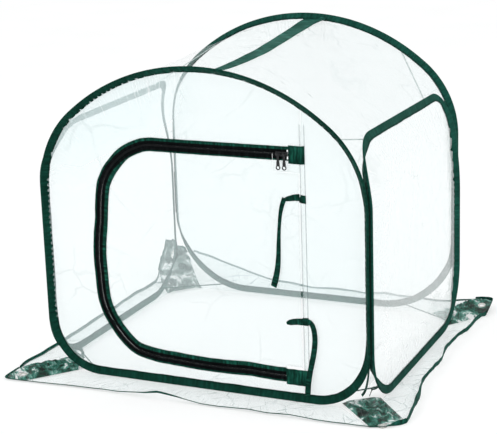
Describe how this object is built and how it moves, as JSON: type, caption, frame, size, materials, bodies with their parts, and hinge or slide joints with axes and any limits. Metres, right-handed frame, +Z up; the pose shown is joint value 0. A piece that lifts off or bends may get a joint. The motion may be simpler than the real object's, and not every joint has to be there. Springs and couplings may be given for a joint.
{
  "type": "pop up greenhouse",
  "caption": "Small fold-flat grow tent: spring-wire hoop walls in green binding hold clear film, with a C-shaped zip door, top strap and pegging skirt.",
  "frame": {"origin": "on the ground under the middle of the skirt's outline", "axes": "+Z up, the door wall faces -Y, +X is to the right of someone facing the door"},
  "size_m": [0.855, 0.767, 0.6837],
  "materials": {
    "spring_steel": "drawn spring-steel wire",
    "ferrule_metal": "crimped plated steel sleeve",
    "green_binding": "dark green woven binding tape, sewn",
    "clear_film": "clear flexible vinyl film, lightly creased",
    "zip_tape": "black woven zip tape",
    "zip_coil": "black nylon coil",
    "slider_black": "black enamelled slider",
    "webbing": "teal ribbed webbing",
    "skirt_edging": "thin dark green bound edge",
    "patch_film": "green translucent crumpled film",
    "grommet_metal": "pressed eyelet"
  },
  "bodies": {
    "front_wall": {"front_hoop_wire": "spring_steel", "front_hoop_ferrule": "ferrule_metal", "front_binding": "green_binding", "front_sheet_left": "clear_film", "front_sheet_right": "clear_film", "door_seam_tape": "clear_film", "zip_tape_outer": "zip_tape", "zip_coil_outer": "zip_coil", "opening_cover_tape": "green_binding", "zip_end_web": "zip_tape", "zip_end_cover": "green_binding", "zip_end_patches": "green_binding", "tie_anchors": "green_binding", "corner_seam_front_right": "green_binding", "corner_seam_front_left": "green_binding", "top_sheet": "clear_film", "top_strap": "webbing", "top_gussets_front": "clear_film", "bottom_gussets_front": "clear_film", "skirt_front": "clear_film", "skirt_edge_front": "skirt_edging", "corner_patches_front": "patch_film", "corner_edges_front": "skirt_edging", "grommets_front": "grommet_metal"},
    "right_wall": {"right_hoop_wire": "spring_steel", "right_hoop_ferrule": "ferrule_metal", "right_binding": "green_binding", "right_sheet": "clear_film", "skirt_right": "clear_film", "skirt_edge_right": "skirt_edging", "corner_seam_back_right": "green_binding"},
    "left_wall": {"left_hoop_wire": "spring_steel", "left_hoop_ferrule": "ferrule_metal", "left_binding": "green_binding", "left_sheet": "clear_film", "skirt_left": "clear_film", "skirt_edge_left": "skirt_edging"},
    "back_wall": {"back_hoop_wire": "spring_steel", "back_hoop_ferrule": "ferrule_metal", "back_binding": "green_binding", "back_sheet": "clear_film", "corner_seam_back_left": "green_binding", "top_gussets_back": "clear_film", "bottom_gussets_back": "clear_film", "skirt_back": "clear_film", "skirt_edge_back": "skirt_edging", "corner_patches_back": "patch_film", "corner_edges_back": "skirt_edging", "grommets_back": "grommet_metal"},
    "door": {"door_sheet": "clear_film", "zip_tape_inner": "zip_tape", "zip_coil_inner": "zip_coil", "door_cover_tape": "green_binding", "tie_tabs": "green_binding"},
    "slider_b": {"zip_slider_b": "slider_black"},
    "slider_a": {"zip_slider_a": "slider_black"},
    "pull_a": {"zip_pull_a": "slider_black"},
    "pull_b": {"zip_pull_b": "slider_black"},
    "upper_tie": {"upper_tie_tail": "green_binding"},
    "lower_tie": {"lower_tie_tail": "green_binding"}
  },
  "joints": [
    {"name": "fold_front_right", "type": "hinge", "parent": "front_wall", "child": "right_wall", "pos_m": [0.3535, -0.2935, 0], "axis": [0, 0, 1], "range_deg": [0, 85], "deforming": ["top_sheet", "top_strap", "top_gussets_front", "bottom_gussets_front", "corner_patches_front", "corner_edges_front", "grommets_front"]},
    {"name": "fold_back_right", "type": "hinge", "parent": "right_wall", "child": "back_wall", "pos_m": [0.3535, 0.2935, 0], "axis": [0, 0, 1], "range_deg": [-85, 0], "deforming": ["top_gussets_back", "bottom_gussets_back", "corner_patches_back", "corner_edges_back", "grommets_back"]},
    {"name": "fold_front_left", "type": "hinge", "parent": "front_wall", "child": "left_wall", "pos_m": [-0.3535, -0.2935, 0], "axis": [0, 0, 1], "range_deg": [0, 85]},
    {"name": "door_fold", "type": "hinge", "parent": "front_wall", "child": "door", "pos_m": [0.216, -0.2987, 0], "axis": [0, 0, 1], "range_deg": [0, 120]},
    {"name": "slider_b_travel", "type": "slide", "parent": "front_wall", "child": "slider_b", "axis": [-1, 0, 0], "range_m": [0, 0.135]},
    {"name": "slider_a_travel", "type": "slide", "parent": "slider_b", "child": "slider_a", "axis": [-1, 0, 0], "range_m": [0, 0.135]},
    {"name": "pull_a_swing", "type": "hinge", "parent": "slider_a", "child": "pull_a", "pos_m": [0.176, -0.3028, 0.498], "axis": [-1, 0, 0], "range_deg": [0, 110]},
    {"name": "pull_b_swing", "type": "hinge", "parent": "slider_b", "child": "pull_b", "pos_m": [0.1885, -0.3028, 0.498], "axis": [-1, 0, 0], "range_deg": [0, 110]},
    {"name": "upper_tie_swing", "type": "hinge", "parent": "door", "child": "upper_tie", "pos_m": [0.187, -0.2993, 0.411], "axis": [0, 1, 0], "range_deg": [0, 50]},
    {"name": "lower_tie_swing", "type": "hinge", "parent": "front_wall", "child": "lower_tie", "pos_m": [0.225, -0.2997, 0.17], "axis": [0, -1, 0], "range_deg": [0, 50]}
  ],
  "couplings": [
    {"joint": "fold_back_right", "follows": "fold_front_right", "ratio": -1},
    {"joint": "fold_front_left", "follows": "fold_front_right", "ratio": 1}
  ]
}
